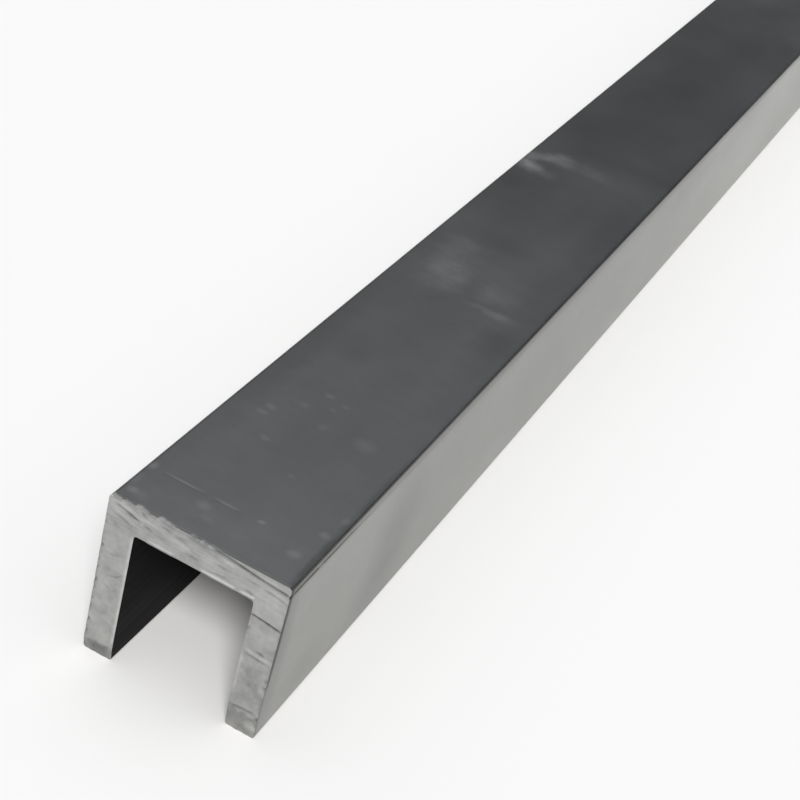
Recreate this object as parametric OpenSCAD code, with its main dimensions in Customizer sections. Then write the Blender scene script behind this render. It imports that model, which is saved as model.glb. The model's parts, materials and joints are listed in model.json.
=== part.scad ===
// Extruded aluminium channel section, one length of mill-finish stock sawn at both ends.
// It lies as it would on a bench: web on top, the two legs standing on their toes.
// Millimetres. +X runs across the section, +Y along the bar, +Z from the toes to the web.
// The origin is the middle of the bar, on the plane of the toes.

/* [Section] */
// Overall width, across the outer faces of the two legs
section_w = 19.05; // [14:0.05:60]
// Overall height, from the toes to the outer face of the web
section_h = 19.05; // [10:0.05:60]
// Thickness of the web
web_t = 3.175; // [1.5:0.025:6]
// Thickness of each leg
leg_t = 3.175; // [1.5:0.025:6]

/* [Edges] */
// Radius on the two outer corners, where the web turns into the legs
outer_corner_r = 0.4; // [0.1:0.05:1.5]
// Fillet in the two roots, between the inner faces of web and legs
root_fillet_r = 0.3; // [0.1:0.05:1.5]
// Radius on both edges of each toe
toe_edge_r = 0.4; // [0.1:0.05:0.7]

/* [Length] */
// Length of the bar, from one sawn end to the other
bar_length = 304.8; // [50:0.1:6000]

/* [Hidden] */
// Width of the slot between the legs
slot_w = section_w - 2 * leg_t;
// Depth of the slot, from the toes to the inner face of the web
slot_h = section_h - web_t;
// How far cutting and joining shapes run past the faces they meet
overrun = 1;
// Sides drawn on a full circle
$fn = 64;

// The sliver between a square corner at the origin, whose sides run along +x and +y, and an arc
// of radius r that is tangent to both sides. Taken off an outside corner it leaves a round, and
// added to an inside corner it leaves a fillet. It is backed by a square that runs past the corner.
module corner_sliver(r) {
    difference() {
        translate([-overrun, -overrun])
            square(r + overrun);
        translate([r, r])
            circle(r = r);
    }
}

// The round taken off the outer corner of the left leg and the web
module outer_corner_round() {
    translate([-section_w / 2, section_h])
        mirror([0, 1])
            corner_sliver(outer_corner_r);
}

// The rounds taken off the outer and inner edges of the left toe
module toe_edge_rounds() {
    translate([-section_w / 2, 0])
        corner_sliver(toe_edge_r);
    translate([-slot_w / 2, 0])
        mirror([1, 0])
            corner_sliver(toe_edge_r);
}

// The slot that the legs and web enclose, with its two roots filleted
module slot_outline() {
    difference() {
        translate([-slot_w / 2, -overrun])
            square([slot_w, slot_h + overrun]);
        for (side = [0, 1])
            mirror([side, 0])
                translate([-slot_w / 2, slot_h])
                    mirror([0, 1])
                        corner_sliver(root_fillet_r);
    }
}

// The cross-section that the die gives the bar, standing on its toes
module channel_section() {
    difference() {
        translate([-section_w / 2, 0])
            square([section_w, section_h]);
        slot_outline();
        for (side = [0, 1])
            mirror([side, 0]) {
                outer_corner_round();
                toe_edge_rounds();
            }
    }
}

// One solid length of channel, cut square at both ends
module channel_bar() {
    color([0.62, 0.62, 0.61])
        rotate([90, 0, 0])
            linear_extrude(height = bar_length, center = true)
                channel_section();
}

channel_bar();
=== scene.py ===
# %% [markdown]
# # A sawn length of aluminium channel
#
# The object is one length of square U channel: aluminium pushed hot through a die, then sawn off at both
# ends. It lies with its web on top, on the toes of its two legs.
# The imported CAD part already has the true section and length, so this lesson never changes a size.
# It adds what the eye looks for on bare stock: the saw's marks, the burr on the cut edges, a few knocks and
# scratches, and the dull grey skin that an extruded bar has before anyone polishes it.

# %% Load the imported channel
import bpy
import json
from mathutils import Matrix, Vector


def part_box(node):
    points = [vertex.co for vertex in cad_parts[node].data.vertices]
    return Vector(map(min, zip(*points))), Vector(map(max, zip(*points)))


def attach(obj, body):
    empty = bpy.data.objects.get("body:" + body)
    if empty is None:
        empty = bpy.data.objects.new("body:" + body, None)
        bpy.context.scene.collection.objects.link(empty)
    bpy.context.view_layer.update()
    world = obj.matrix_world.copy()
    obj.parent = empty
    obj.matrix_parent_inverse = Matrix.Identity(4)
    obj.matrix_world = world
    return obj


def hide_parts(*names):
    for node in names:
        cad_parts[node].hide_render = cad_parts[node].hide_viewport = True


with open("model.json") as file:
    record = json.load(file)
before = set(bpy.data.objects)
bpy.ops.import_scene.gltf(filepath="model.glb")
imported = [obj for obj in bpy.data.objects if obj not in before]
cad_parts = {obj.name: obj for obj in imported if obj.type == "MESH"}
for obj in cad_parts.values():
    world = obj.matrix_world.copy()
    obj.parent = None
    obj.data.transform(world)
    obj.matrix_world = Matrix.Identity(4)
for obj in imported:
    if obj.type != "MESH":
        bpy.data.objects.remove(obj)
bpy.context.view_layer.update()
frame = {"record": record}

# %% Import what the lesson uses
import json
import math
from collections import namedtuple
import bmesh
import bpy
from mathutils import Matrix, Quaternion, Vector, noise
print("Blender", bpy.app.version_string)

# %% [markdown]
# ## The sizes
#
# A made piece should take its sizes from the part that it dresses, so that the two can't drift apart.
# The node's box gives the section's width and height and the bar's length. The thickness of the walls
# follows from two of the record's mounts: the middle of a toe, and the floor of the slot.
# The mesh is drawn in millimetres, because every size on a drawing of such a bar is in millimetres, and it
# is shrunk to Blender's metres once, at the end.

# %% Read the sizes from the frame
MM = 0.001
low, high = (Vector(corner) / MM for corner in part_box("channel_bar"))
mount_at = {mount["name"]: Vector(mount["pos_m"]) / MM for mount in frame["record"]["mounts"]}
WIDTH, LENGTH, HEIGHT = high - low
NEAR, FAR = low.y, high.y
LEG = 2 * (mount_at["left_toe"].x - low.x)
WEB = high.z - mount_at["slot_floor"].z
SLOT = WIDTH - 2 * LEG
CEILING = HEIGHT - WEB
print(f"section {WIDTH:.2f} x {HEIGHT:.2f}, leg {LEG:.3f}, web {WEB:.3f}, length {LENGTH:.1f} mm")

# %% [markdown]
# ## The section, as a grid
#
# The ends are where this bar has its character, and they need many small faces for the saw to mark.
# One could model a smooth bar and cut its ends up later, but a grid gives even squares from the start:
# a flat grid fills the section's outer square, and the cells inside the slot are deleted.
# A leg's thickness is a whole number of cells, so the slot's walls fall exactly on grid lines.

# %% Draw the section
CELLS_PER_WALL = 32
CELL = LEG / CELLS_PER_WALL
TINY = CELL / 100

bar = bmesh.new()
stand_up = Matrix.Translation((0, NEAR, HEIGHT / 2)) @ Matrix.Rotation(math.radians(90), 4, "X")
bmesh.ops.create_grid(
    bar,
    x_segments=round(WIDTH / CELL),
    y_segments=round(HEIGHT / CELL),
    size=0.5,
    matrix=stand_up @ Matrix.Diagonal((WIDTH, HEIGHT, 1, 1)),
)
slot_cells = []
for face in bar.faces:
    middle = face.calc_center_median()
    if abs(middle.x) < SLOT / 2 and middle.z < CEILING:
        slot_cells.append(face)
bmesh.ops.delete(bar, geom=slot_cells, context="FACES")
print(f"section of {len(bar.faces)} cells, {CELL:.3f} mm each")

# %% [markdown]
# ## Rounded corners
#
# A die has no perfectly sharp corners, and neither has the bar that comes out of it. The outer corners and
# the toes have a small radius, and the roots of the slot a smaller fillet. A bevel would have to be wider
# than the cells beside it, so the corners are bent instead. At an outer corner the little square of cells
# is squeezed into a quarter disc. At a root the wall's last few points slide out onto the fillet's arc.

# %% Round the section
OUTER_RADIUS = 0.4
ROOT_RADIUS = 0.3


def squeeze_to_disc(point, corner_x, corner_z, into_x, into_z):
    """Moves a point of a corner's square of cells into the quarter disc of the corner's radius.

    The metal lies from the corner towards into_x and into_z, which are -1 or 1.
    """
    u = 1 - (point.x - corner_x) * into_x / OUTER_RADIUS
    v = 1 - (point.z - corner_z) * into_z / OUTER_RADIUS
    if not (0 < u < 1 + TINY and 0 < v < 1 + TINY):
        return
    point.x = corner_x + into_x * OUTER_RADIUS * (1 - u * math.sqrt(1 - v * v / 2))
    point.z = corner_z + into_z * OUTER_RADIUS * (1 - v * math.sqrt(1 - u * u / 2))


def slide_to_fillet(point, root_x):
    """Moves a point on the slot's wall or ceiling, near a root, onto the fillet's arc."""
    from_wall = abs(root_x - point.x)
    from_ceiling = CEILING - point.z
    on_wall = from_wall < TINY and -TINY < from_ceiling < ROOT_RADIUS
    on_ceiling = abs(from_ceiling) < TINY and from_wall < ROOT_RADIUS and abs(point.x) < abs(root_x)
    if not (on_wall or on_ceiling):
        return
    swing = (from_wall if on_ceiling else -from_ceiling) / ROOT_RADIUS
    angle = math.radians(45 * (1 + swing))
    point.x = root_x - math.copysign(ROOT_RADIUS * (1 - math.cos(angle)), root_x)
    point.z = CEILING - ROOT_RADIUS * (1 - math.sin(angle))


for vert in bar.verts:
    for side in (-1, 1):
        squeeze_to_disc(vert.co, side * WIDTH / 2, HEIGHT, -side, -1)
        squeeze_to_disc(vert.co, side * WIDTH / 2, 0, -side, 1)
        squeeze_to_disc(vert.co, side * SLOT / 2, 0, side, 1)
        slide_to_fillet(vert.co, side * SLOT / 2)
print(f"corners rounded to {OUTER_RADIUS} mm, roots to {ROOT_RADIUS} mm")

# %% [markdown]
# ## From section to bar
#
# Extruding is what the press does too: the section is pulled along the bar. It goes in steps, and each
# step leaves a ring of points. The rings are close together at the ends, where the edges are worn, and at
# the scratch across the web. On the plain stretch between they are far apart, because only a shallow die
# line fades there.

# %% Pull the section along the bar
EDGE_RINGS = (0.07, 0.16, 0.27, 0.4, 0.56, 0.76, 1.0, 1.4, 2.0, 3.0)
SCRATCH_FROM_END = 6.1
SCRATCH_RINGS = tuple(SCRATCH_FROM_END + step for step in (-0.45, -0.24, -0.12, 0, 0.12, 0.24, 0.45))
PLAIN_RINGS = (9, 14, 20, 30, 50, 80, 120, 180, 240, 280)
far_rings = tuple(LENGTH - ring for ring in reversed(EDGE_RINGS))
stations = EDGE_RINGS + SCRATCH_RINGS + PLAIN_RINGS + far_rings + (LENGTH,)

front = [*bar.verts, *bar.edges, *bar.faces]
reached = 0
for station in stations:
    front = bmesh.ops.extrude_face_region(bar, geom=front)["geom"]
    moved = [item for item in front if isinstance(item, bmesh.types.BMVert)]
    bmesh.ops.translate(bar, verts=moved, vec=(0, station - reached, 0))
    reached = station
bmesh.ops.recalc_face_normals(bar, faces=bar.faces)
closed = all(edge.is_manifold for edge in bar.edges)
print(f"bar of {len(bar.faces)} faces in {len(stations)} steps, closed: {closed}")

# %% [markdown]
# ## The saw's marks
#
# A hacksaw leaves fine streaks along its strokes. On this end they slope down across the web and level out
# towards the right. The legs were cut with less force and look torn and cloudy instead. A few teeth dig
# deeper grooves or push up ridges, and the last of each leg bends away and breaks, which leaves a facet at
# the toe, painted darker as shade.
# A bump map could fake this, but only for the shading. Here each point of the end is pushed into the bar
# by a small depth, so the marks are also there in profile and in the mesh itself.
# Each point keeps a second number, its tone: below zero as painted shade in grooves, nicks, toes, edges and
# under lips, and on a few greasy folds; above zero as a painted highlight on ridges and lips, and on burrs,
# which are rubbed bright. The finish reads it later.

# %% Describe the strokes
# Each layer of streaks on the web, or of clouds on a leg, has its width and its depth, in mm.
WEB_STREAKS = ((0.60, 0.009), (0.22, 0.006))
LEG_CLOUDS = ((1.30, 0.010), (0.45, 0.006))
STREAK_RUN = 5.0
STROKE_SLOPE = 0.29
LEVEL_SLOPE = 0.06
LEVEL_FROM = 4.0


def streaks(x, z, seed):
    """Depth of the fine streaks on the web, in mm, which follow the saw's strokes."""
    steep = min(x, LEVEL_FROM)
    across = z + STROKE_SLOPE * steep + LEVEL_SLOPE * (x - steep)
    return sum(
        height * noise.noise((across / width, x / STREAK_RUN, seed + width))
        for width, height in WEB_STREAKS
    )


def clouds_on_leg(x, z, seed):
    """Depth of the torn patches on the legs, in mm."""
    return sum(height * noise.noise((x / size, z / size, seed + size)) for size, height in LEG_CLOUDS)


print(f"streaks that run {STREAK_RUN} mm, and level out {LEVEL_FROM} mm right of the middle")

# %% Draw the grooves
GROOVE_TAPER = 0.7
TIP_SHARE = 0.35
# Past this many of its own widths, a mark has no depth left.
MARK_LIMIT = 3


def groove(x, z, width, depth, *path):
    """Depth at this point of one groove along a path of points, with tapered ends."""
    share_of_depth = 0.0
    for (x1, z1), (x2, z2) in zip(path, path[1:]):
        run_x, run_z = x2 - x1, z2 - z1
        along = ((x - x1) * run_x + (z - z1) * run_z) / (run_x ** 2 + run_z ** 2)
        along = min(1, max(0, along))
        away = math.hypot(x - x1 - along * run_x, z - z1 - along * run_z) / width
        if away < MARK_LIMIT:
            share_of_depth = max(share_of_depth, math.exp(-away * away))
    if share_of_depth == 0:
        return 0.0
    from_tips = min(math.dist((x, z), path[0]), math.dist((x, z), path[-1]))
    return depth * share_of_depth * min(1, TIP_SHARE + from_tips / GROOVE_TAPER)


# Each groove has its width and depth, then its path of x and z, in mm. A ridge has a depth below zero.
NEAR_GROOVES = (
    (0.12, 0.075, (-8.8, 18.4), (-7.2, 18.0), (-6.0, 17.6)),
    (0.11, 0.065, (-5.6, 17.55), (-4.7, 17.3)),
    (0.14, -0.035, (-8.9, 17.85), (-6.3, 17.1)),
    (0.11, 0.045, (-8.8, 17.35), (-6.8, 16.75)),
    (0.22, 0.035, (-8.5, 16.1), (-8.2, 15.95)),
    (0.10, 0.06, (-6.3, 18.95), (-5.4, 18.5)),
    (0.10, 0.05, (-4.0, 18.55), (-2.7, 18.3)),
    (0.20, -0.020, (-8.0, 18.55), (-4.9, 18.0), (-0.8, 17.55)),
    (0.12, 0.035, (-2.4, 18.2), (0.4, 17.4)),
    (0.13, 0.050, (2.0, 17.6), (2.75, 17.47), (3.5, 17.38)),
    (0.12, 0.050, (1.8, 16.5), (2.6, 16.55), (3.5, 16.65)),
    (0.11, 0.050, (5.2, 16.65), (6.3, 16.25)),
    (0.13, 0.045, (-2.3, 18.2), (-1.1, 18.27)),
    (0.18, 0.030, (-1.0, 16.95), (0.6, 16.85)),
    (0.12, 0.045, (5.4, 17.66), (6.4, 17.62)),
    (0.14, -0.025, (2.6, 18.4), (3.9, 18.35)),
    (0.18, -0.020, (-2.2, 17.1), (-0.7, 17.25)),
    (0.13, 0.10, (1.2, 18.97), (2.4, 18.93), (3.7, 18.8), (5.2, 18.6), (6.9, 18.4), (9.5, 18.18)),
    (0.11, 0.07, (7.1, 17.58), (8.2, 17.5), (8.9, 17.35), (9.5, 17.15)),
    (0.09, 0.13, (6.35, 14.35), (8.0, 14.15), (9.5, 13.95)),
    (0.13, -0.05, (6.3, 10.35), (7.8, 10.1), (9.2, 10.05)),
    (0.10, 0.06, (6.7, 9.75), (9.1, 9.55)),
    (0.12, 0.08, (7.8, 10.5), (8.5, 10.4)),
    (0.30, 0.025, (7.5, 6.5), (8.5, 6.35)),
    (0.15, 0.06, (6.4, 3.1), (7.9, 3.3), (9.1, 3.35)),
    (0.14, -0.04, (8.4, 2.75), (9.3, 2.75)),
    (0.11, 0.025, (-8.7, 12.6), (-8.1, 12.5), (-7.4, 12.8)),
    (0.11, 0.035, (-8.3, 10.0), (-7.4, 10.2), (-6.6, 10.9)),
    (0.14, -0.025, (-7.9, 4.85), (-6.6, 4.5)),
    (0.20, 0.030, (-6.7, 5.1), (-6.5, 4.9)),
    (0.16, 0.025, (-8.5, 8.9), (-7.8, 8.5)),
)
FAR_GROOVES = (
    (0.11, 0.09, (-9.2, 17.9), (-6.0, 18.2), (-2.5, 18.3)),
    (0.10, 0.07, (1.5, 17.2), (5.5, 17.5), (8.8, 17.7)),
    (0.12, -0.03, (-4.0, 17.3), (0.5, 17.0)),
    (0.10, 0.11, (-9.3, 11.2), (-6.4, 11.3)),
    (0.12, 0.08, (6.5, 6.4), (9.3, 6.6)),
)
print(f"{len(NEAR_GROOVES)} grooves and ridges on the near end, {len(FAR_GROOVES)} on the far end")

# %% Break the toes and shade the ends
# Height of each leg's broken toe: left, then right.
NEAR_TOES = (1.6, 2.9)
FAR_TOES = (2.4, 1.6)
TOE_FACET_TILT = 0.16
TOE_RAG = 0.35
TOE_RAG_RUN = 0.6
TOE_SEED = 3
# The toe's facet gets painted shade of this tone.
TOE_SHADE = -0.30
# Heights over the toe's break where its tone begins and where it is full.
TOE_TONE_EDGES = (0.1, -0.2)
# Broad lighter and darker places: the middle as x and z, the reach across and up, in mm, and the tone.
NEAR_SHADES = (
    (7.6, 16.6, 3.0, 2.8, 0.24), (8.0, 12.6, 2.2, 2.6, 0.06), (7.9, 6.2, 2.4, 3.6, -0.18),
    (8.9, 1.4, 0.8, 1.2, 0.20), (-7.9, 0.6, 2.4, 1.5, -0.32), (-7.9, 18.5, 1.6, 0.9, 0.24),
    (3.5, 17.3, 6.0, 2.2, 0.06), (-5.2, 18.7, 1.4, 0.6, -0.20), (0.1, 18.8, 1.9, 0.5, -0.28),
)
FAR_SHADES = ((-7.0, 16.4, 3.0, 2.5, 0.20), (7.8, 8.0, 2.2, 4.0, -0.20))
SHADE_CORE = 0.2
# The legs' clouds give way to the web's streaks between these two heights over the slot's ceiling.
CLOUDS_END, STREAKS_START = -1.6, 0.6
# Painted shade for each mm of a groove's depth, a painted highlight on a ridge, and the darkest and lightest
# tone that either gets.
GROOVE_SHADE_TONE = -9
GROOVE_TONE_LIMITS = (-1, 0.6)
FINE_TONE = -17


def smooth_step(first, second, value):
    """Rises softly from 0 at the first place to 1 at the second, which may be the lower one."""
    share = min(1, max(0, (value - first) / (second - first)))
    return share * share * (3 - 2 * share)


def shade(x, z, shades):
    """Tone of the broad places at this point."""
    total = 0.0
    for middle_x, middle_z, reach_x, reach_z, tone in shades:
        away = math.hypot((x - middle_x) / reach_x, (z - middle_z) / reach_z)
        total += tone * smooth_step(1, SHADE_CORE, away)
    return total


def saw_depth(x, z, grooves, toes, seed):
    """How far the saw has cut this point of the end into the bar, in mm, and the point's tone."""
    on_web = smooth_step(CEILING + CLOUDS_END, CEILING + STREAKS_START, z)
    fine = on_web * streaks(x, z, seed) + (1 - on_web) * clouds_on_leg(x, z, seed)
    cut = sum(groove(x, z, *line) for line in grooves)
    toe = toes[0] if x < 0 else toes[1]
    toe += TOE_RAG * noise.noise((x / TOE_RAG_RUN, 0, seed + TOE_SEED))
    facet = TOE_FACET_TILT * max(0, toe - z)
    darkest, lightest = GROOVE_TONE_LIMITS
    tone = min(lightest, max(darkest, GROOVE_SHADE_TONE * cut)) + FINE_TONE * fine
    begins, full = TOE_TONE_EDGES
    tone += TOE_SHADE * smooth_step(toe + begins, toe + full, z)
    return fine + cut + facet, tone


print(f"toes broken {NEAR_TOES} mm up on the near end and {FAR_TOES} mm up on the far end")

# %% [markdown]
# ## Burrs and knocks
#
# A saw pushes a burr over the edge where it leaves the metal, and bare aluminium is soft enough to be nicked
# whenever it is put down. Along the web's top edge the burr is worn to a light strip. It is ragged on the
# left, where short folds are rolled back over the web, some of them bright and some greasy. On the right it
# is a clean wedge that widens towards the corner. Stretches of a thin lip over the slot and beside it catch
# the light, with a painted highlight on them and painted shadow under the lip over the slot. The nicks get
# painted shade, and the legs' outer edges a broken line of painted shade.
# All but that line are made by moving the edge back, forth or down, so that the light finds a real slope.

# %% Wear the web's top edge
RAGGED_WIDTH = 0.32
RAGGED_SWING = 0.30
RAGGED_LEAST = 0.05
# Each wave of the ragged stretch has its run in mm, its share and a seed of its own.
RAGGED_WAVES = ((0.9, 1.0, 0), (0.33, 0.6, 5))
WEDGE_START = 1.3
WEDGE_BLEND = 1
WEDGE_WIDTHS = (0.06, 0.87)
STRIP_DROP = 0.12
STRIP_TONE = 0.08
STRIP_TONE_FULL = 0.4


def top_break(x, seed):
    """Width of the worn strip along the web's top edge at this place across the bar."""
    swing = sum(share * noise.noise((x / run, seed, layer)) for run, share, layer in RAGGED_WAVES)
    ragged = max(RAGGED_LEAST, RAGGED_WIDTH + RAGGED_SWING * swing)
    thin, thick = WEDGE_WIDTHS
    wedge = thin + (thick - thin) * max(0, x - WEDGE_START) / (WIDTH / 2 - WEDGE_START)
    return ragged + (wedge - ragged) * smooth_step(WEDGE_START - WEDGE_BLEND, WEDGE_START + WEDGE_BLEND, x)


def worn_strip(x, z, seed):
    """How far the worn strip lies behind the end at this point, in mm, and the point's tone."""
    worn = max(0, 1 - (HEIGHT - z) / top_break(x, seed))
    return STRIP_DROP * worn, STRIP_TONE * smooth_step(0, STRIP_TONE_FULL, worn)


print(f"worn strip about {RAGGED_WIDTH} mm wide on the left, {WEDGE_WIDTHS[1]} mm at the right corner")

# %% Roll the burr back over the web
FOLD_SLOPE = 0.24
FOLD_HEIGHT = 0.5
FOLD_RISE = 0.16
FOLD_RUN_OUT = 0.75
FOLD_RAG = 0.4
FOLD_SWING = 0.4
FOLD_TONE_FULL = 0.08
# Each fold has its two ends across the bar and its reach along it, in mm, and its tone. It reaches furthest
# at its first end and runs out towards the second.
NEAR_FOLDS = (
    (-9.3, -8.2, 0.48, 1.00), (-8.0, -6.9, 0.30, 0.60), (-6.8, -5.3, 0.70, 0.50), (-4.4, -2.6, 0.56, 0.85),
    (-1.0, -0.2, 0.48, -0.10), (0.1, 1.0, 0.40, 0.45), (1.0, 2.4, 0.34, -0.15),
)
FAR_FOLDS = ((-6.4, -5.0, 0.40, 0.60), (3.2, 4.6, 0.45, 0.70), (7.4, 8.2, 0.30, 0.50))


def between(start, stop, soft, value):
    """1 from start to stop, with soft ends, and 0 outside."""
    return smooth_step(start - soft, start + soft, value) * smooth_step(stop + soft, stop - soft, value)


def rolled_down(x, z, behind, folds):
    """How far the folded burr is rolled below the web's top at this point, in mm, and the point's tone."""
    deepest, tone = 0.0, 0.0
    for start, stop, reach, brightness in folds:
        ragged = 1 + FOLD_SWING * noise.noise((x / FOLD_RAG, reach, 0))
        run_out = 1 - FOLD_RUN_OUT * min(1, max(0, (x - start) / (stop - start)))
        reach *= between(start, stop, FOLD_RISE, x) * run_out * ragged
        roll = FOLD_SLOPE * (reach - behind)
        if roll > deepest:
            deepest, tone = roll, brightness * smooth_step(0, FOLD_TONE_FULL, roll)
    return deepest * smooth_step(HEIGHT - FOLD_HEIGHT, HEIGHT, z), tone


print(f"{len(NEAR_FOLDS)} folds on the near end, {len(FAR_FOLDS)} on the far end")

# %% Nick the legs' edges
# Painted shade for each mm of a nick's depth, and a painted highlight on a knob.
NICK_TONE = -6
# The painted shade in a broken line along a leg's outer edge: its tone, where it begins and is full, measured
# from the edge, and how its strength comes and goes up the leg.
EDGE_SHADE_TONE = -0.22
EDGE_LINE_BELOW_TOP = 1
EDGE_LINE_REACH = (0.35, 0.05)
EDGE_LINE_MEAN = 0.5
EDGE_LINE_SWING = 1.4
EDGE_LINE_RUN = 0.8
EDGE_LINE_SEED = 4
# Each nick has its place as x and z, its radius and its depth, in mm. A knob has a depth below zero.
NEAR_NICKS = (
    (-9.45, 16.0, 0.16, 0.05), (-9.45, 13.1, 0.20, 0.10), (-9.45, 11.4, 0.15, 0.06),
    (-9.45, 10.4, 0.16, 0.06), (-9.45, 8.9, 0.20, 0.10), (-9.45, 7.9, 0.18, 0.09), (-9.45, 5.6, 0.16, 0.06),
    (-9.45, 3.9, 0.20, 0.09), (-9.45, 2.4, 0.20, 0.09), (9.1, 8.35, 0.24, -0.05), (9.4, 7.7, 0.22, 0.07),
    (9.45, 6.9, 0.18, 0.07), (9.15, 6.4, 0.24, -0.05), (9.45, 2.9, 0.20, 0.10), (9.3, 1.3, 0.35, -0.06),
    (6.45, 12.7, 0.22, 0.08), (6.5, 8.9, 0.30, -0.03), (-6.5, 12.3, 0.2, 0.04), (-9.45, 6.5, 0.16, 0.07),
)
FAR_NICKS = (
    (-9.45, 14.4, 0.2, 0.10), (-9.45, 8.8, 0.25, 0.12), (9.45, 12.1, 0.2, 0.12), (9.45, 4.2, 0.25, 0.10),
)


def nicked(x, z, nicks):
    """Depth of the nicks at this point, in mm, and the point's tone."""
    depth = 0.0
    for nick_x, nick_z, radius, deep in nicks:
        away = math.hypot(x - nick_x, z - nick_z) / radius
        if away < MARK_LIMIT:
            depth += deep * math.exp(-away * away)
    return depth, NICK_TONE * depth


def painted_edge_shade(x, z, seed):
    """Tone of the broken line of painted shade along a leg's outer edge."""
    if z >= HEIGHT - EDGE_LINE_BELOW_TOP:
        return 0.0
    wave = noise.noise((z / EDGE_LINE_RUN, math.copysign(EDGE_LINE_SEED, x), seed))
    strength = max(0, EDGE_LINE_MEAN + EDGE_LINE_SWING * wave)
    begins, full = EDGE_LINE_REACH
    return EDGE_SHADE_TONE * strength * smooth_step(WIDTH / 2 - begins, WIDTH / 2 - full, abs(x))


print(f"{len(NEAR_NICKS)} nicks on the near end, {len(FAR_NICKS)} on the far end")

# %% Raise the lips around the slot
LIP_WIDTH = 0.44
LIP_HEIGHT = 0.12
LIP_SOFT_ENDS = 0.4
# Up the lip over the slot, the tone is painted shadow at first, then a painted highlight, and plain again at
# the top.
LIP_SHADOW_TONE, LIP_HIGHLIGHT_TONE = -0.5, 1.25
LIP_DARK_CORE, LIP_DARK_END = 0.08, 0.15
LIP_LIGHT_RISE, LIP_LIGHT_FALL = 0.05, 0.15
WALL_LIP_HEIGHT = 0.06
WALL_LIP_SOFT_ENDS = 0.6
WALL_LIP_CORE = 0.1
# Each stretch of the lip over the slot has its two ends across the bar, in mm, and its strength.
NEAR_LIPS = ((-4.9, -2.3, 0.5), (0.8, 4.2, 1.0), (4.9, 6.4, 1.0))
FAR_LIPS = ((-5.2, -2.4, 0.8), (0.3, 2.2, 0.6))
# Each stretch of the lip beside the slot has its wall, -1 or 1, its two heights in mm, and its strength.
NEAR_WALL_LIPS = ((-1, 2.4, 15.4, 0.55), (1, 5.0, 9.6, 0.35))
FAR_WALL_LIPS = ((1, 6.0, 15.0, 0.5),)


def lip_over_slot(x, z, lips):
    """How far the lip over the slot lies behind the end at this point, in mm, and the point's tone: painted
    shadow under a painted highlight.
    """
    over = z - CEILING
    if abs(x) >= SLOT / 2 or not -ROOT_RADIUS < over < LIP_WIDTH:
        return 0.0, 0.0
    held = max(strength * between(start, stop, LIP_SOFT_ENDS, x) for start, stop, strength in lips)
    lit = smooth_step(LIP_DARK_END, LIP_DARK_END + LIP_LIGHT_RISE, over)
    lit *= smooth_step(LIP_WIDTH, LIP_WIDTH - LIP_LIGHT_FALL, over)
    shaded = smooth_step(LIP_DARK_END, LIP_DARK_CORE, over)
    return -LIP_HEIGHT * held * (1 - over / LIP_WIDTH), held * (LIP_HIGHLIGHT_TONE * lit + LIP_SHADOW_TONE * shaded)


def lip_beside_slot(x, z, wall_lips):
    """The same for the lips along the slot's two walls, whose tone is a painted highlight."""
    beside = abs(x) - SLOT / 2
    if z >= CEILING or beside >= LIP_WIDTH:
        return 0.0, 0.0
    held = 0.0
    for wall, bottom, top, strength in wall_lips:
        if wall * x > 0:
            held = max(held, strength * between(bottom, top, WALL_LIP_SOFT_ENDS, z))
    raised = held * smooth_step(LIP_WIDTH, WALL_LIP_CORE, beside)
    return -WALL_LIP_HEIGHT * raised, raised


print(f"{len(NEAR_LIPS)} lips over the slot and {len(NEAR_WALL_LIPS)} beside it on the near end")

# %% [markdown]
# ## Cutting the ends
#
# Now every point near an end moves. On the cut face it moves by the full depth. On the rings behind it the
# move dies away, which slides them along the flat walls and keeps them in order.
# All depths are measured from the proudest crest, so that no point leaves the CAD part's box.

# %% Gather what each end has
# y is the end's place along the bar, and inward is 1 or -1, the way from there into the bar.
End = namedtuple("End", "y inward seed grooves toes shades nicks lips wall_lips folds")
NEAR_SEED, FAR_SEED = 11.0, 47.0
ENDS = (
    End(
        NEAR, 1, NEAR_SEED, NEAR_GROOVES, NEAR_TOES, NEAR_SHADES,
        NEAR_NICKS, NEAR_LIPS, NEAR_WALL_LIPS, NEAR_FOLDS,
    ),
    End(
        FAR, -1, FAR_SEED, FAR_GROOVES, FAR_TOES, FAR_SHADES,
        FAR_NICKS, FAR_LIPS, FAR_WALL_LIPS, FAR_FOLDS,
    ),
)


def edge_depth(x, z, end):
    """How far the worn edges lie behind the end at this point, in mm, and the point's tone."""
    depth, tone = 0.0, painted_edge_shade(x, z, end.seed)
    for part_depth, part_tone in (
        worn_strip(x, z, end.seed),
        nicked(x, z, end.nicks),
        lip_over_slot(x, z, end.lips),
        lip_beside_slot(x, z, end.wall_lips),
    ):
        depth += part_depth
        tone += part_tone
    return depth, tone


print("ends at", [round(end.y, 1) for end in ENDS], "mm")

# %% Cut both ends
WORN_REACH = 1.4
# The painted shade in a thin line behind the cut: how far it reaches on the web and on the leg, and its tone.
# On the leg the tone goes from the first to the second between two heights.
SHADE_ON_WEB = 0.42
SHADE_ON_LEG = 0.62
WEB_SHADE_TONE = -0.35
LEG_SHADE_TONES = (-0.03, -0.65)
LEG_SHADE_HEIGHTS = (6, 11)


def shade_behind_cut(point, behind):
    """Tone of the painted shade in a thin line on the web and the right leg, just behind the cut."""
    if point.z > HEIGHT - TINY:
        return WEB_SHADE_TONE * max(0, 1 - behind / SHADE_ON_WEB)
    if point.x > WIDTH / 2 - TINY:
        lower, upper = LEG_SHADE_TONES
        tone = lower + (upper - lower) * smooth_step(*LEG_SHADE_HEIGHTS, point.z)
        return tone * max(0, 1 - behind / SHADE_ON_LEG)
    return 0.0


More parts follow.
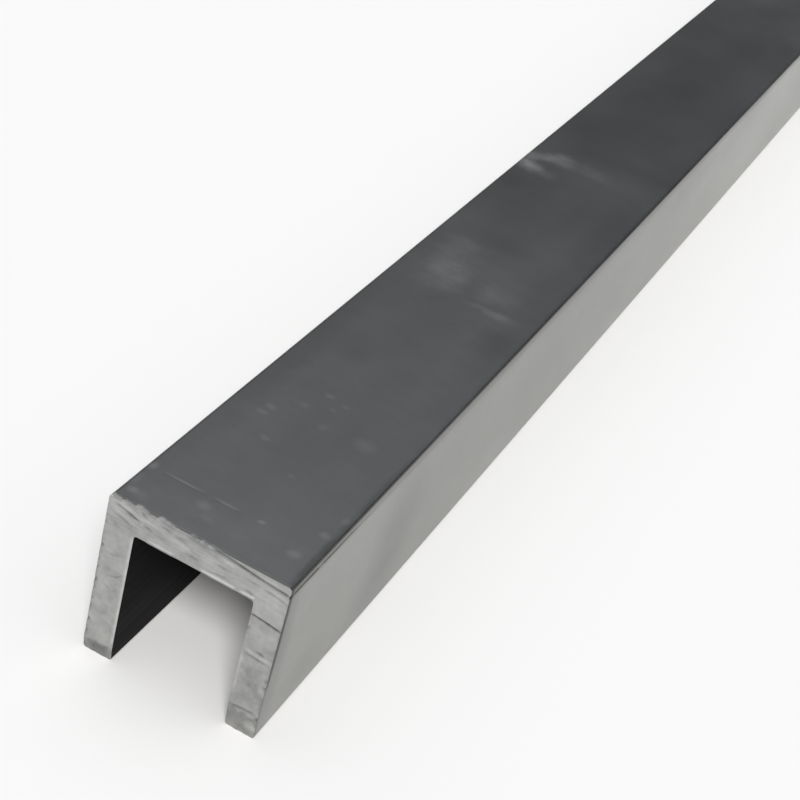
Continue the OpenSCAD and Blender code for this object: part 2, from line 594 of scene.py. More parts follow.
tone_layer = bar.verts.layers.float.new("saw_tone")
for end in ENDS:
    found = []
    for vert in bar.verts:
        x, y, z = vert.co
        behind = (y - end.y) * end.inward
        if behind < WORN_REACH:
            cut_in, cut_tone = saw_depth(x, z, end.grooves, end.toes, end.seed)
            worn_in, worn_tone = edge_depth(x, z, end)
            rolled, fold_tone = rolled_down(x, z, behind, end.folds)
            if behind < TINY:
                tone = cut_tone + worn_tone + shade(x, z, end.shades)
            elif rolled > 0:
                tone = fold_tone
            else:
                tone = shade_behind_cut(vert.co, behind)
            found.append((vert, behind, cut_in + worn_in, rolled, tone))
    depths = [depth for vert, behind, depth, rolled, tone in found]
    proudest = min(depths)
    for vert, behind, depth, rolled, tone in found:
        left = 1 - behind / WORN_REACH
        vert.co.y += end.inward * left * (depth - proudest)
        vert.co.z -= rolled
        vert[tone_layer] = tone
    print(f"{len(found)} points moved, by {max(depths) - proudest:.3f} mm at most")

# %% [markdown]
# ## Lines on the long faces
#
# Two marks on the long faces are deep enough to model. A tooth that slipped has scratched the web across,
# in two strokes. And the die has dragged a fine line along the bar, just under its right-hand top corner,
# that is deepest at the near end.

# %% Scratch the web and draw the die line
SCRATCH_STROKES = ((-7.6, -3.1), (-2.0, 0.6))
SCRATCH_DEPTH = 0.012
SCRATCH_WIDTH = 0.13
SCRATCH_SLANT = 0.012
DIE_LINE_BELOW_TOP = 0.92
DIE_LINE_WIDTH = 0.17
DIE_LINE_DEPTHS = (0.10, 0.010)
DIE_LINE_FADE = 12.0

scratched = 0
for vert in bar.verts:
    from_end = vert.co.y - NEAR
    if vert.co.z > HEIGHT - TINY:
        away = (from_end - SCRATCH_FROM_END - SCRATCH_SLANT * vert.co.x) / SCRATCH_WIDTH
        inside = any(start < vert.co.x < stop for start, stop in SCRATCH_STROKES)
        if inside and abs(away) < MARK_LIMIT:
            vert.co.z -= SCRATCH_DEPTH * math.exp(-away * away)
            scratched += 1
    if vert.co.x > WIDTH / 2 - TINY:
        away = (HEIGHT - DIE_LINE_BELOW_TOP - vert.co.z) / DIE_LINE_WIDTH
        deep, shallow = DIE_LINE_DEPTHS
        depth = shallow + (deep - shallow) * math.exp(-from_end / DIE_LINE_FADE)
        vert.co.x -= depth * math.exp(-away * away)
print(f"{scratched} points in the scratch")

# %% [markdown]
# ## One object with three finishes
#
# The outside gets the first material, the two cuts the second, and the slot's inside the third, a near-black
# painted shade. Edges that turn sharply are marked sharp, so that smooth shading rounds only the radii and
# the saw's marks.
# The finished object stays at the origin with its place in its mesh, as the CAD nodes do, and it hides the
# plain CAD node that it stands for.

# %% Make the bar's object
SHARP_ANGLE = math.radians(38)
# A face counts as part of the cut where its normal leans this much along the bar.
SAWN_LEAN = 0.35
SLOT_SHADE_EDGE = 0.10
# The slot's inside gets the third finish, which is painted shade.
MILL, SAWN, SLOT_SHADE = 0, 1, 2
for face in bar.faces:
    face.smooth = True
    middle = face.calc_center_median()
    in_slot = abs(middle.x) < SLOT / 2 + SLOT_SHADE_EDGE and middle.z < CEILING + SLOT_SHADE_EDGE
    if abs(face.normal.y) > SAWN_LEAN:
        face.material_index = SAWN
    else:
        face.material_index = SLOT_SHADE if in_slot else MILL
for edge in bar.edges:
    mixed = len({face.material_index for face in edge.link_faces}) > 1
    edge.smooth = not mixed and edge.calc_face_angle(0) < SHARP_ANGLE
bmesh.ops.scale(bar, verts=bar.verts, vec=(MM, MM, MM))

mesh = bpy.data.meshes.new("sawn_channel_bar")
bar.to_mesh(mesh)
bar.free()
channel = bpy.data.objects.new("sawn_channel_bar", mesh)
bpy.context.scene.collection.objects.link(channel)
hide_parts("channel_bar")
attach(channel, "root")
triangles = sum(len(polygon.vertices) - 2 for polygon in mesh.polygons)
print(f"{channel.name}: {triangles} triangles")

# %% [markdown]
# ## Helpers for the finishes
#
# Colours are written as the hex values that a colour picker shows, and one function turns them into the
# linear numbers that Blender mixes light with. A second function adds a node, sets it and links it in one
# call, which keeps a long node tree readable. Two more start a material, and give the place on the bar in
# millimetres, so that each pattern can be written at its real size.

# %% Define the helpers
# Some sockets share a name with others of the same node, so they are picked by number.
MIX_SHARE, MIX_UNDER, MIX_OVER, MIX_RESULT = 0, 6, 7, 2
VECTOR_TO_MIN, VECTOR_TO_MAX = 9, 10


def linear(hex_colour):
    """The linear RGBA of an sRGB hex colour such as #9FA09E."""
    shares = [int(hex_colour[place:place + 2], 16) / 255 for place in (1, 3, 5)]
    bent = [((share + 0.055) / 1.055) ** 2.4 if share > 0.04045 else share / 12.92 for share in shares]
    return (*bent, 1.0)


def add(tree, kind, settings, links=None):
    """Adds a node, sets its sockets and properties by name, and links its inputs.

    A link comes from a socket, or from the first output of a node.
    """
    node = tree.nodes.new(kind)
    for name, value in settings.items():
        if isinstance(name, int) or name in node.inputs:
            node.inputs[name].default_value = value
        else:
            setattr(node, name, value)
    for name, source in (links or {}).items():
        socket = source.outputs[0] if isinstance(source, bpy.types.Node) else source
        tree.links.new(socket, node.inputs[name])
    return node


def new_material(name):
    """An empty node material, and its tree."""
    material = bpy.data.materials.new(name)
    material.use_nodes = True
    material.node_tree.nodes.clear()
    return material, material.node_tree


def place_in_mm(tree):
    """A node that gives the place on the object, in millimetres."""
    coordinates = add(tree, "ShaderNodeTexCoord", {})
    return add(
        tree, "ShaderNodeVectorMath",
        {"operation": "SCALE", "Scale": 1 / MM},
        {0: coordinates.outputs["Object"]},
    )


print("grey of a sawn face:", [round(share, 3) for share in linear("#AEAEAC")])

# %% [markdown]
# ## Mill-finish aluminium
#
# Mill finish means as it left the press: a thin grey oxide, duller than polished metal, with very fine lines
# along the bar and a cloudy tone where the bar cooled and was handled. It reflects its surroundings as a soft
# blur, so the web looks dark under a dim room and the legs light above a pale floor.
# The marks are placed in millimetres: a patch rubbed by a neighbour in the stack, a bright streak where a
# strap lay, and flecks near the sawn end. Each is a soft ellipse, and noise bends all but the scratch so that
# their edges are uneven. A rubbed place is lighter and rougher, which is what rubbing does.

# %% Place the marks on the web and the right leg
# On the web: middle across and along the bar, reach across and along, and strength.
RUBBED_ON_WEB = (
    (-4.8, 62.8, 4.4, 10.0, 0.26), (-4.0, 61.3, 2.8, 3.6, 0.22), (-5.0, 69.0, 3.6, 1.8, 0.22),
    (2.6, 60.5, 3.8, 3.4, 0.20), (-3.4, 57.6, 3.6, 1.8, 0.18), (4.0, 56.6, 4.4, 1.0, 0.32),
    (-2.0, 59.6, 2.2, 3.6, 0.22), (2.0, 60.6, 1.6, 1.6, 0.14),
    (-8.6, 95.9, 2.6, 2.4, 0.80), (-8.8, 98.8, 1.8, 3.0, 0.85), (-7.0, 95.8, 2.2, 2.3, 0.55),
    (-7.0, 100.2, 2.0, 2.0, 0.70), (-5.2, 95.4, 2.4, 2.2, 0.20), (-4.9, 101.3, 2.8, 3.0, 0.65),
    (-1.0, 100.7, 4.4, 1.7, 0.15), (-1.0, 102.3, 4.4, 1.7, 0.15), (3.6, 100.2, 4.4, 1.2, 0.04),
    (0.0, 64.0, 9.0, 6.0, 0.05), (-2.0, 2.0, 10.0, 6.0, 0.10),
)
FLECKS_ON_WEB = (
    (-8.3, 2.0, 0.9, 0.7, 0.34), (-8.9, 6.2, 0.7, 0.9, 0.40), (-7.4, 1.9, 1.4, 1.0, 0.14),
    (-9.0, 3.6, 0.7, 1.6, 0.18), (-2.4, 4.6, 1.1, 0.9, 0.26), (-1.2, 3.2, 1.2, 0.6, 0.12),
    (2.8, 6.2, 0.6, 0.45, 0.40), (7.3, 4.4, 1.1, 0.9, 0.30), (8.1, 8.6, 0.9, 0.8, 0.26),
    (8.7, 11.7, 0.6, 0.9, 0.20), (-5.6, 22.3, 1.0, 0.7, 0.24), (-5.8, 20.9, 1.1, 0.6, 0.24),
    (-3.4, 17.4, 0.9, 0.6, 0.22), (-3.2, 25.0, 0.8, 0.6, 0.16), (-2.0, 28.2, 0.9, 0.7, 0.20),
    (0.1, 27.8, 0.8, 0.6, 0.16), (-0.7, 26.4, 0.6, 0.5, 0.14), (0.1, 23.0, 0.7, 1.0, 0.14),
    (4.6, 23.5, 1.8, 1.6, 0.18), (1.6, 14.0, 0.8, 0.6, 0.12),
)
SHINE_MARGIN, SHINE_WIDTH, SHINE = 0.3, 0.20, 0.34
SCRATCHES_ON_WEB = tuple(
    ((start + stop) / 2, SCRATCH_FROM_END, (stop - start) / 2 + SHINE_MARGIN, SHINE_WIDTH, SHINE)
    for start, stop in SCRATCH_STROKES
)
STAINS_ON_WEB = (
    (-4.2, 39.0, 4.0, 5.0, 0.16), (2.0, 36.4, 3.5, 4.0, 0.10), (6.6, 51.0, 3.6, 5.0, 0.30),
    (-1.2, 72.5, 5.0, 4.0, 0.22), (-8.0, 90.0, 2.6, 4.5, 0.20), (-8.8, 30.0, 3.2, 34.0, 0.30),
    (7.8, 62.0, 4.2, 56.0, 0.22), (1.0, 88.0, 30.0, 20.0, 0.28), (0.0, 113.0, 30.0, 17.0, 0.42),
    (0.0, 140.0, 30.0, 34.0, 0.22), (3.0, 106.5, 12.0, 4.5, 0.14),
)
# On the right leg: middle along and up, reach along and up, and strength.
# The two places within a millimetre of the sawn end are painted shade beside the cut edge.
LEG_STAINS_AND_SHADE = (
    (25.5, 8.5, 9.0, 14.0, 0.36), (22.0, 3.0, 8.0, 7.0, 0.14), (52.0, 8.0, 95.0, 40.0, 0.32),
    (8.0, 3.5, 7.0, 4.0, 0.16), (0.5, 9.0, 3.5, 16.0, 0.52), (110.0, 9.0, 45.0, 30.0, 0.14),
    (75.0, 18.6, 65.0, 4.0, 0.28), (128.0, 17.0, 50.0, 7.0, 0.26), (0.2, 16.0, 2.6, 7.0, 0.26),
)
print(f"{len(RUBBED_ON_WEB)} rubbed places, {len(FLECKS_ON_WEB)} flecks and {len(STAINS_ON_WEB)} stains")

# %% Turn marks into nodes
# A mark is a flat ellipsoid on its face, this thick, and full at its core.
MARK_THICKNESS = 0.6
MARK_CORE = 0.1


def soft_marks(tree, place, web_marks, leg_marks=()):
    """One node that gives all these marks, each a soft ellipse on the web's upper face or the right leg."""
    marks = []
    for across, along, reach_across, reach_along, strength in web_marks:
        marks.append(((across, NEAR + along, HEIGHT), (reach_across, reach_along, MARK_THICKNESS), strength))
    for along, up, reach_along, reach_up, strength in leg_marks:
        marks.append(((WIDTH / 2, NEAR + along, up), (MARK_THICKNESS, reach_along, reach_up), strength))
    total = None
    for middle, reach, strength in marks:
        offset = add(tree, "ShaderNodeVectorMath", {"operation": "SUBTRACT", 1: middle}, {0: place})
        share = add(tree, "ShaderNodeVectorMath", {"operation": "DIVIDE", 1: reach}, {0: offset})
        away = add(tree, "ShaderNodeVectorMath", {"operation": "LENGTH"}, {0: share})
        mark = add(
            tree, "ShaderNodeMapRange",
            {"interpolation_type": "SMOOTHSTEP", "From Min": 1.0, "From Max": MARK_CORE, "To Max": strength},
            {"Value": away.outputs["Value"]},
        )
        if total is None:
            total = mark
        else:
            total = add(tree, "ShaderNodeMath", {"operation": "ADD"}, {0: total, 1: mark})
    return total


print(f"marks up to {MARK_THICKNESS} mm off their face")

# %% Start the mill finish with its patterns
CLOUD_MM = 14.0
MOTTLE_MM = 2.4
DIE_LINE_SPACING_MM = 0.35
GRAIN_MM = 0.25

mill, tree = new_material("mill_finish_aluminium")
here = place_in_mm(tree)
axes = add(tree, "ShaderNodeSeparateXYZ", {}, {0: here})

# Soft clouds of lighter and darker oxide, longer along the bar than across it.
stretch = add(tree, "ShaderNodeVectorMath", {"operation": "MULTIPLY", 1: (1.0, 0.45, 1.0)}, {0: here})
clouds = add(
    tree, "ShaderNodeTexNoise",
    {"Scale": 1 / CLOUD_MM, "Detail": 3.0, "Roughness": 0.55},
    {"Vector": stretch},
)
# A finer mottle, drawn out a little across the bar, where hands and other bars have rubbed it.
rub_way = add(tree, "ShaderNodeVectorMath", {"operation": "MULTIPLY", 1: (0.55, 1.0, 0.8)}, {0: here})
mottle = add(
    tree, "ShaderNodeTexNoise",
    {"Scale": 1 / MOTTLE_MM, "Detail": 5.0, "Roughness": 0.72},
    {"Vector": rub_way},
)
# Die lines run the whole length, so the pattern is squashed almost flat along the bar.
drag = add(tree, "ShaderNodeVectorMath", {"operation": "MULTIPLY", 1: (1.0, 0.004, 1.0)}, {0: here})
die_lines = add(
    tree, "ShaderNodeTexNoise",
    {"Scale": 1 / DIE_LINE_SPACING_MM, "Detail": 2.0},
    {"Vector": drag},
)
grain = add(tree, "ShaderNodeTexNoise", {"Scale": 1 / GRAIN_MM, "Detail": 3.0}, {"Vector": here})
print(f"{mill.name}: clouds of {CLOUD_MM} mm, mottle of {MOTTLE_MM} mm")

# %% Add the rubbed and stained places
# Uneven edges for the marks: their place is shaken by noise.
WANDER_MM = 1.3
WANDER_RUN_MM = 2.0
shake = add(
    tree, "ShaderNodeTexNoise",
    {"Scale": 1 / WANDER_RUN_MM, "Detail": 4.0, "Roughness": 0.65},
    {"Vector": here},
)
shift = add(
    tree, "ShaderNodeMapRange",
    {"data_type": "FLOAT_VECTOR", VECTOR_TO_MIN: (-WANDER_MM,) * 3, VECTOR_TO_MAX: (WANDER_MM,) * 3},
    {"Vector": shake.outputs["Color"]},
)
flat_shift = add(
    tree, "ShaderNodeVectorMath",
    {"operation": "MULTIPLY", 1: (1.0, 0.7, 0.0)},
    {0: shift.outputs["Vector"]},
)
shaken = add(tree, "ShaderNodeVectorMath", {"operation": "ADD"}, {0: here, 1: flat_shift})
lightly_shaken = add(
    tree, "ShaderNodeVectorMath",
    {"operation": "MULTIPLY_ADD", 1: (0.3, 0.3, 0.0)},
    {0: flat_shift, 2: here},
)
wide_marks = soft_marks(tree, shaken, RUBBED_ON_WEB)
small_marks = soft_marks(tree, lightly_shaken, FLECKS_ON_WEB)
scratches = soft_marks(tree, here, SCRATCHES_ON_WEB)
web_stains = soft_marks(tree, shaken, STAINS_ON_WEB)
leg_stains_and_shade = soft_marks(tree, lightly_shaken, (), LEG_STAINS_AND_SHADE)
stains_and_shade = add(tree, "ShaderNodeMath", {"operation": "ADD"}, {0: web_stains, 1: leg_stains_and_shade})
# Rubbing is patchy: the mottle lets some of the oxide stand inside a rubbed place.
patchy = add(
    tree, "ShaderNodeMapRange",
    {"From Min": 0.36, "From Max": 0.64, "To Min": 0.60, "To Max": 1.25},
    {"Value": mottle.outputs["Fac"]},
)
patches = add(tree, "ShaderNodeMath", {"operation": "MULTIPLY"}, {0: wide_marks, 1: patchy})
lights = add(tree, "ShaderNodeMath", {"operation": "ADD"}, {0: small_marks, 1: scratches})
worn_places = add(tree, "ShaderNodeMath", {"operation": "ADD"}, {0: patches, 1: lights})
# The burr that the saw folded over the web is in the mesh, as points with a tone above zero.
point_tone = add(tree, "ShaderNodeAttribute", {"attribute_name": "saw_tone"})
burr = add(tree, "ShaderNodeMath", {"operation": "MAXIMUM", 1: 0.0}, {0: point_tone.outputs["Fac"]})
rubbed = add(tree, "ShaderNodeMath", {"operation": "ADD", "use_clamp": True}, {0: worn_places, 1: burr})
print(f"{len(tree.nodes)} nodes with the marks")

# %% Paint shade beside the right-hand corner
# Painted shade darkens the last millimetre of the web beside the corner, most of it near the sawn end. Noise
# shakes its edge.
SMUDGE_WIDTH = 0.95
SMUDGE_FULL = 0.10
SMUDGE_MM = 1.6
SMUDGE_WOBBLE = 0.9


def held_within(tree, mark, limits):
    """The mark's node, weakened by limits.

    Each limit has the socket that it measures, two places there, and the strength at the one and the other.
    """
    for measured, first, second, first_strength, second_strength in limits:
        limit = add(
            tree, "ShaderNodeMapRange",
            {"From Min": first, "From Max": second, "To Min": first_strength, "To Max": second_strength},
            {"Value": measured},
        )
        mark = add(tree, "ShaderNodeMath", {"operation": "MULTIPLY"}, {0: mark, 1: limit})
    return mark


smudge_noise = add(tree, "ShaderNodeTexNoise", {"Scale": 1 / SMUDGE_MM, "Detail": 4.0}, {"Vector": stretch})
wobble = add(
    tree, "ShaderNodeMath",
    {"operation": "MULTIPLY_ADD", 1: SMUDGE_WOBBLE},
    {0: smudge_noise.outputs["Fac"], 2: axes.outputs["X"]},
)
corner = WIDTH / 2 + SMUDGE_WOBBLE / 2
near_corner = add(
    tree, "ShaderNodeMapRange",
    {"interpolation_type": "SMOOTHSTEP", "From Min": corner - SMUDGE_WIDTH, "From Max": corner - SMUDGE_FULL},
    {"Value": wobble},
)
corner_band_shade = held_within(tree, near_corner, (
    (axes.outputs["Z"], HEIGHT - 0.10, HEIGHT - 0.02, 0.0, 1.0),
    (axes.outputs["Y"], NEAR + 12.0, NEAR + 30.0, 0.46, 0.14),
))
print(f"smudge {SMUDGE_WIDTH} mm wide, with an edge shaken every {SMUDGE_MM} mm")

# %% Darken the die line under that corner
# Painted shade in the line near the sawn end, where it is deep, with breaks.
DIE_LINE_SHADE_REACH = (0.32, 0.08)
from_line = add(
    tree, "ShaderNodeMath",
    {"operation": "SUBTRACT", 1: HEIGHT - DIE_LINE_BELOW_TOP},
    {0: axes.outputs["Z"]},
)
off_line = add(tree, "ShaderNodeMath", {"operation": "ABSOLUTE"}, {0: from_line})
in_line = add(
    tree, "ShaderNodeMapRange",
    {"interpolation_type": "SMOOTHSTEP", "From Min": DIE_LINE_SHADE_REACH[0], "From Max": DIE_LINE_SHADE_REACH[1]},
    {"Value": off_line},
)
die_line_shade = held_within(tree, in_line, (
    (axes.outputs["X"], WIDTH / 2 - 0.22, WIDTH / 2 - 0.15, 0.0, 1.0),
    (axes.outputs["Y"], NEAR + 9.0, NEAR + 17.0, 1.0, 0.0),
    (smudge_noise.outputs["Fac"], 0.38, 0.52, 0.0, 0.75),
))
print(f"grease {2 * DIE_LINE_SHADE_REACH[0]} mm wide on a line {DIE_LINE_BELOW_TOP} mm below the top")

# %% Paint shade on both top corners and gather the dark layers
# Painted shade on the sides just under the top: most of all at the corner's round, and less further down.
CORNER_SHADE_STRENGTH = 0.70
off_middle = add(tree, "ShaderNodeMath", {"operation": "ABSOLUTE"}, {0: axes.outputs["X"]})
on_side = add(
    tree, "ShaderNodeMapRange",
    {"From Min": WIDTH / 2 - 0.16, "From Max": WIDTH / 2 - 0.04},
    {"Value": off_middle},
)
side_shade = held_within(tree, on_side, ((axes.outputs["Z"], HEIGHT - 1.8, HEIGHT - 0.25, 0.0, CORNER_SHADE_STRENGTH),))
band_and_line_shade = add(tree, "ShaderNodeMath", {"operation": "MAXIMUM"}, {0: corner_band_shade, 1: die_line_shade})
corner_shade = add(tree, "ShaderNodeMath", {"operation": "ADD"}, {0: band_and_line_shade, 1: side_shade})
# The painted shade behind and along the cut, and a few greasy folds, are in the mesh, as points with a tone
# below zero.
behind_cut = add(tree, "ShaderNodeMath", {"operation": "MULTIPLY", 1: -1.0}, {0: point_tone.outputs["Fac"]})
shade_and_grease = add(
    tree, "ShaderNodeMath",
    {"operation": "MAXIMUM", "use_clamp": True},
    {0: corner_shade, 1: behind_cut},
)
print(f"top corners dulled by {CORNER_SHADE_STRENGTH}, {len(tree.nodes)} nodes with the grime")

# %% Colour the mill finish
oxide = add(
    tree, "ShaderNodeMix",
    {"data_type": "RGBA", MIX_UNDER: linear("#8D8D8A"), MIX_OVER: linear("#9D9D9A")},
    {MIX_SHARE: clouds.outputs["Fac"]},
)
colour = add(
    tree, "ShaderNodeMix",
    {"data_type": "RGBA", "blend_type": "OVERLAY", MIX_SHARE: 0.10},
    {MIX_UNDER: oxide.outputs[MIX_RESULT], MIX_OVER: mottle.outputs["Fac"]},
)
# Over the oxide lie rubbed metal, the folded burr, stains with some painted shade, and painted shade with a
# little grease, each over the one before.
for share, tint in ((rubbed, "#CBC9C6"), (burr, "#B3B3AF"), (stains_and_shade, "#6F6F6E"), (shade_and_grease, "#3B3A34")):
    colour = add(
        tree, "ShaderNodeMix",
        {"data_type": "RGBA", MIX_OVER: linear(tint)},
        {MIX_SHARE: share, MIX_UNDER: colour.outputs[MIX_RESULT]},
    )
print(f"{len(tree.nodes)} nodes with the colours")

# %% Finish the mill finish
# Roughness: a satin blur that the clouds vary and rubbing makes duller.
satin = add(
    tree, "ShaderNodeMapRange",
    {"From Min": 0.3, "From Max": 0.7, "To Min": 0.30, "To Max": 0.38},
    {"Value": clouds.outputs["Fac"]},
)
duller = add(tree, "ShaderNodeMath", {"operation": "MULTIPLY_ADD", 1: 0.12}, {0: rubbed, 2: satin})
# Where the points have a tone of either sign, on torn burr, greasy folds and painted shade, the metal hardly
# shines.
marked = add(tree, "ShaderNodeMath", {"operation": "ABSOLUTE"}, {0: point_tone.outputs["Fac"]})
torn_blur = add(tree, "ShaderNodeMapRange", {"From Max": 0.05, "To Max": 0.36}, {"Value": marked})
blur = add(tree, "ShaderNodeMath", {"operation": "ADD"}, {0: duller, 1: torn_blur})
# Relief that is too fine to model: the die lines first, then the grain on top of them.
FINE_RELIEF_MM = 0.02
lines = add(
    tree, "ShaderNodeBump",
    {"Strength": 0.06, "Distance": FINE_RELIEF_MM * MM},
    {"Height": die_lines.outputs["Fac"]},
)
skin = add(
    tree, "ShaderNodeBump",
    {"Strength": 0.08, "Distance": FINE_RELIEF_MM * MM},
    {"Height": grain.outputs["Fac"], "Normal": lines},
)
shader = add(
    tree, "ShaderNodeBsdfPrincipled",
    {"Metallic": 1.0},
    {"Base Color": colour.outputs[MIX_RESULT], "Roughness": blur, "Normal": skin},
)
add(tree, "ShaderNodeOutputMaterial", {}, {"Surface": shader})
print(f"{mill.name}: {len(tree.nodes)} nodes")

# %% [markdown]
# ## Freshly sawn aluminium
#
# A saw tears the metal, so a cut end is brighter than the oxide around it but rougher. The mesh has its
# grooves and burrs already. What is left for the finish is their tone, read from the points' own attribute,
# the cloudy grey between them, and hair-fine scratches along the strokes on the web.

# %% Make the sawn finish
HAIR_MM = 0.13
HAIR_DEPTH_MM = 0.03
TEAR_MM = 1.1
# The hair scratches fade out between these two heights over the slot's ceiling.
HAIRS_END, HAIRS_START = -1.0, 0.8

sawn, tree = new_material("sawn_aluminium")
here = place_in_mm(tree)
axes = add(tree, "ShaderNodeSeparateXYZ", {}, {0: here})
point_tone = add(tree, "ShaderNodeAttribute", {"attribute_name": "saw_tone"})
# Hair scratches: noise drawn out along the strokes, which run across the bar.
strokes = add(
    tree, "ShaderNodeMapping",
    {"Rotation": (0, math.atan(STROKE_SLOPE), 0), "Scale": (0.035, 1.0, 1.0)},
    {"Vector": here},
)
hairs = add(tree, "ShaderNodeTexNoise", {"Scale": 1 / HAIR_MM, "Detail": 2.0}, {"Vector": strokes})
on_web = add(
    tree, "ShaderNodeMapRange",
    {"From Min": CEILING + HAIRS_END, "From Max": CEILING + HAIRS_START, "To Min": 0.14, "To Max": 0.75},
    {"Value": axes.outputs["Z"]},
)
hair_tone = add(tree, "ShaderNodeMath", {"operation": "SUBTRACT", 1: 0.5}, {0: hairs.outputs["Fac"]})
web_hairs = add(tree, "ShaderNodeMath", {"operation": "MULTIPLY"}, {0: hair_tone, 1: on_web})
tears = add(
    tree, "ShaderNodeTexNoise",
    {"Scale": 1 / TEAR_MM, "Detail": 5.0, "Roughness": 0.6},
    {"Vector": here},
)
uneven = add(
    tree, "ShaderNodeMath",
    {"operation": "MULTIPLY_ADD", 1: 0.9, 2: -0.45},
    {0: tears.outputs["Fac"]},
)
cloudy = add(tree, "ShaderNodeMath", {"operation": "ADD"}, {0: web_hairs, 1: uneven})
all_tone = add(tree, "ShaderNodeMath", {"operation": "ADD"}, {0: point_tone.outputs["Fac"], 1: cloudy})
# Below zero the tone is painted shade, in grooves, nicks, toes, along edges and under lips; above zero it is
# a painted highlight on ridges and lips, or rubbed burr.
lightness = add(tree, "ShaderNodeMapRange", {"From Min": -1.0, "From Max": 1.0}, {"Value": all_tone})
colour = add(tree, "ShaderNodeValToRGB", {}, {"Fac": lightness})
ramp = colour.color_ramp.elements
ramp[0].color = linear("#5C5C5B")
ramp[1].color = linear("#D8D8D6")
ramp.new(0.5).color = linear("#AEAEAC")
scored = add(
    tree, "ShaderNodeBump",
    {"Strength": 0.25, "Distance": HAIR_DEPTH_MM * MM},
    {"Height": hairs.outputs["Fac"]},
)
shader = add(
    tree, "ShaderNodeBsdfPrincipled",
    {"Metallic": 1.0, "Roughness": 0.52},
    {"Base Color": colour.outputs["Color"], "Normal": scored},
)
add(tree, "ShaderNodeOutputMaterial", {}, {"Surface": shader})
print(f"{sawn.name}: {len(tree.nodes)} nodes")

# %% [markdown]
# ## The painted shade inside the slot
#
# The slot's walls get painted shade: a dull, nearly black matt coat, drawn out along the bar, that keeps the
# inside dark whatever light reaches it. It hides the metal's mirror, so it is a matt coating and not a darker
# metal: bare metal turns bright when it is seen at a low angle, and this doesn't.

# %% Make the slot's painted shade
SLOT_SHADE_STREAK_MM = 0.5

slot_shade, tree = new_material("painted_shade_in_slot")
here = place_in_mm(tree)
drawn = add(tree, "ShaderNodeVectorMath", {"operation": "MULTIPLY", 1: (1.0, 0.02, 1.0)}, {0: here})
slot_shade_streaks = add(
    tree, "ShaderNodeTexNoise",
    {"Scale": 1 / SLOT_SHADE_STREAK_MM, "Detail": 4.0, "Roughness": 0.6},
    {"Vector": drawn},
)
# Painted shade: near-black, a little lighter in streaks along the bar.
slot_shade_colour = add(
    tree, "ShaderNodeMix",
    {"data_type": "RGBA", MIX_UNDER: linear("#0B0B0C"), MIX_OVER: linear("#18181A")},
    {MIX_SHARE: slot_shade_streaks.outputs["Fac"]},
)
slot_shade_blur = add(
    tree, "ShaderNodeMapRange",
    {"From Min": 0.3, "From Max": 0.7, "To Min": 0.62, "To Max": 0.8},
    {"Value": slot_shade_streaks.outputs["Fac"]},
)
drag_lines = add(
    tree, "ShaderNodeBump",
    {"Strength": 0.15, "Distance": FINE_RELIEF_MM * MM},
    {"Height": slot_shade_streaks.outputs["Fac"]},
)
shader = add(
    tree, "ShaderNodeBsdfPrincipled",
    {"Metallic": 0.0, "Specular IOR Level": 0.12},
    {"Base Color": slot_shade_colour.outputs[MIX_RESULT], "Roughness": slot_shade_blur, "Normal": drag_lines},
)
add(tree, "ShaderNodeOutputMaterial", {}, {"Surface": shader})
for finish in (mill, sawn, slot_shade):
    mesh.materials.append(finish)
print(f"{slot_shade.name}: {len(tree.nodes)} nodes, {len(mesh.materials)} finishes on the bar")

# %% [markdown]
# ## The floor
#
# The bar lies on a plain pale surface. Polished or not, metal mostly shows what is around it, so the floor is
# also what the legs and the sawn end reflect: it makes them light.

# %% Lay the floor
FLOOR_SIZE = 60.0
FLOOR_BELOW = 0.02 * MM

floor_mesh = bpy.data.meshes.new("pale_floor")
sheet = bmesh.new()
bmesh.ops.create_grid(sheet, x_segments=1, y_segments=1, size=FLOOR_SIZE / 2)
bmesh.ops.translate(sheet, verts=sheet.verts, vec=(0, 0, low.z * MM - FLOOR_BELOW))
sheet.to_mesh(floor_mesh)
sheet.free()
floor = bpy.data.objects.new("pale_floor", floor_mesh)
bpy.context.scene.collection.objects.link(floor)
paint, tree = new_material("matt_white_paint")
shader = add(
    tree, "ShaderNodeBsdfPrincipled",
    {"Base Color": linear("#F6F4F1"), "Roughness": 0.9, "Specular IOR Level": 0.0},
)
add(tree, "ShaderNodeOutputMaterial", {}, {"Surface": shader})
floor_mesh.materials.append(paint)
print(f"floor {FLOOR_SIZE} m square")

# %% [markdown]
# ## The light
#
# The room is a plain studio: one large soft lamp in front, above and a little to the right, and a ceiling
# that fades from pale overhead to dim at the walls. The web faces the ceiling but is seen at a slant, so it
# mirrors the dim walls. That is why it is the darkest face, and why it darkens along the bar, as the slant
# grows. The walls are a little blue, as daylight from a far window is.
# An area lamp near the bar would leave a hot spot on the floor in front of it. A sun with a wide angle is
# the same soft disc, so far away that it lights the whole floor evenly.

# %% Set the lamp and the room
TO_LAMP = Vector((0.36, -0.92, 1.03)).normalized()
LAMP_ANGLE = math.radians(20)
LAMP_STRENGTH = 2.66
# Brightness of the room at each height, where 0 is the horizon and 1 is straight up.
ROOM = (
    (0.0, 0.05), (0.15, 0.07), (0.33, 0.095), (0.45, 0.165),
    (0.55, 0.30), (0.68, 0.435), (0.85, 0.6), (1.0, 0.85),
)
ROOM_TINT = (0.955, 1.0, 1.07)

lamp_data = bpy.data.lights.new("soft_lamp", "SUN")
lamp_data.angle = LAMP_ANGLE
lamp_data.energy = LAMP_STRENGTH
lamp = bpy.data.objects.new("soft_lamp", lamp_data)
lamp.location = TO_LAMP
lamp.rotation_mode = "QUATERNION"
lamp.rotation_quaternion = TO_LAMP.to_track_quat("Z", "Y")
bpy.context.scene.collection.objects.link(lamp)

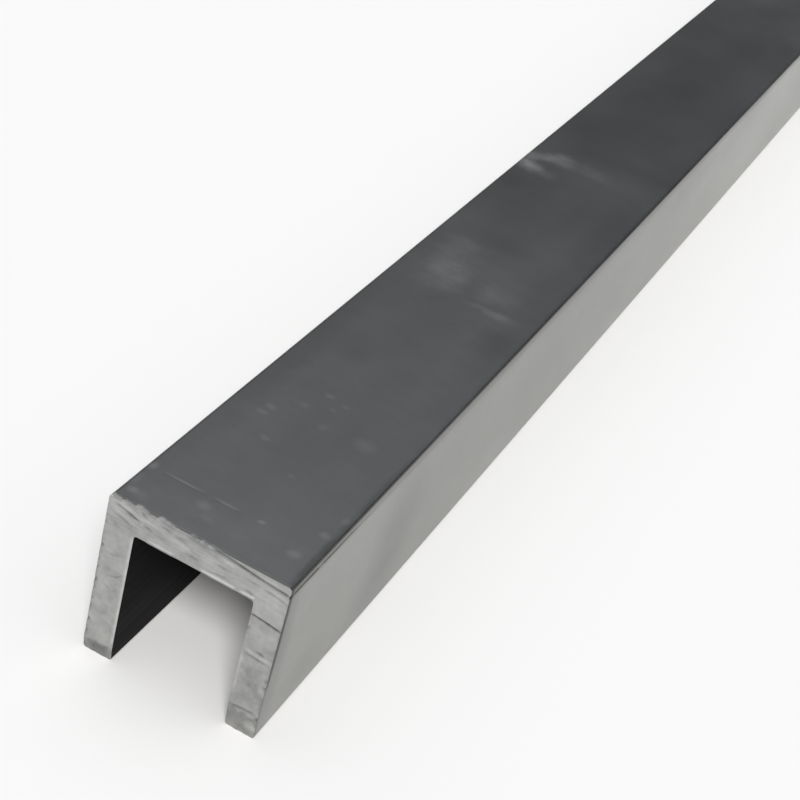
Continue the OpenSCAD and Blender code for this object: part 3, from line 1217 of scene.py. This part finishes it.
room = bpy.data.worlds.new("dim_studio")
room.use_nodes = True
tree = room.node_tree
tree.nodes.clear()
direction = add(tree, "ShaderNodeTexCoord", {})
parts = add(tree, "ShaderNodeSeparateXYZ", {}, {0: direction.outputs["Generated"]})
fade = add(tree, "ShaderNodeValToRGB", {}, {"Fac": parts.outputs["Z"]})
steps = fade.color_ramp.elements
for height, brightness in ROOM[1:-1]:
    steps.new(height)
for step, (height, brightness) in zip(steps, ROOM):
    step.color = (*(brightness * part for part in ROOM_TINT), 1)
glow = add(tree, "ShaderNodeBackground", {"Strength": 1.0}, {"Color": fade.outputs["Color"]})
add(tree, "ShaderNodeOutputWorld", {}, {"Surface": glow})
bpy.context.scene.world = room
bpy.context.scene.view_settings.view_transform = "Standard"
lamp_height = math.degrees(math.asin(TO_LAMP.z))
print(f"lamp {math.degrees(LAMP_ANGLE):.0f} degrees wide, {lamp_height:.0f} degrees up")

# %% [markdown]
# ## The camera
#
# The view is from the right of the near end and above it, close enough for strong perspective, with the
# camera tilted so that the bar runs from the lower left corner out of the upper right one.
# It is set by what a photographer would say: the point aimed at, the distance, two angles, the roll and
# the lens.

# %% Place the camera
AIM_MM = Vector((3.69, NEAR + 33.14, HEIGHT))
DISTANCE_MM = 173.7
ROUND_TO_RIGHT = math.radians(17.34)
ABOVE = math.radians(33.64)
ROLL = math.radians(16.42)
LENS_MM = 76.1
NEAREST_MM = 10

backwards = Vector((
    math.sin(ROUND_TO_RIGHT) * math.cos(ABOVE),
    -math.cos(ROUND_TO_RIGHT) * math.cos(ABOVE),
    math.sin(ABOVE),
))
camera_data = bpy.data.cameras.new("camera")
camera_data.lens = LENS_MM
camera_data.clip_start = NEAREST_MM * MM
camera = bpy.data.objects.new("camera", camera_data)
camera.location = (AIM_MM + backwards * DISTANCE_MM) * MM
camera.rotation_mode = "QUATERNION"
camera.rotation_quaternion = backwards.to_track_quat("Z", "Y") @ Quaternion((0, 0, 1), ROLL)
bpy.context.scene.collection.objects.link(camera)
bpy.context.scene.camera = camera
print("camera at", [round(part, 4) for part in camera.location])
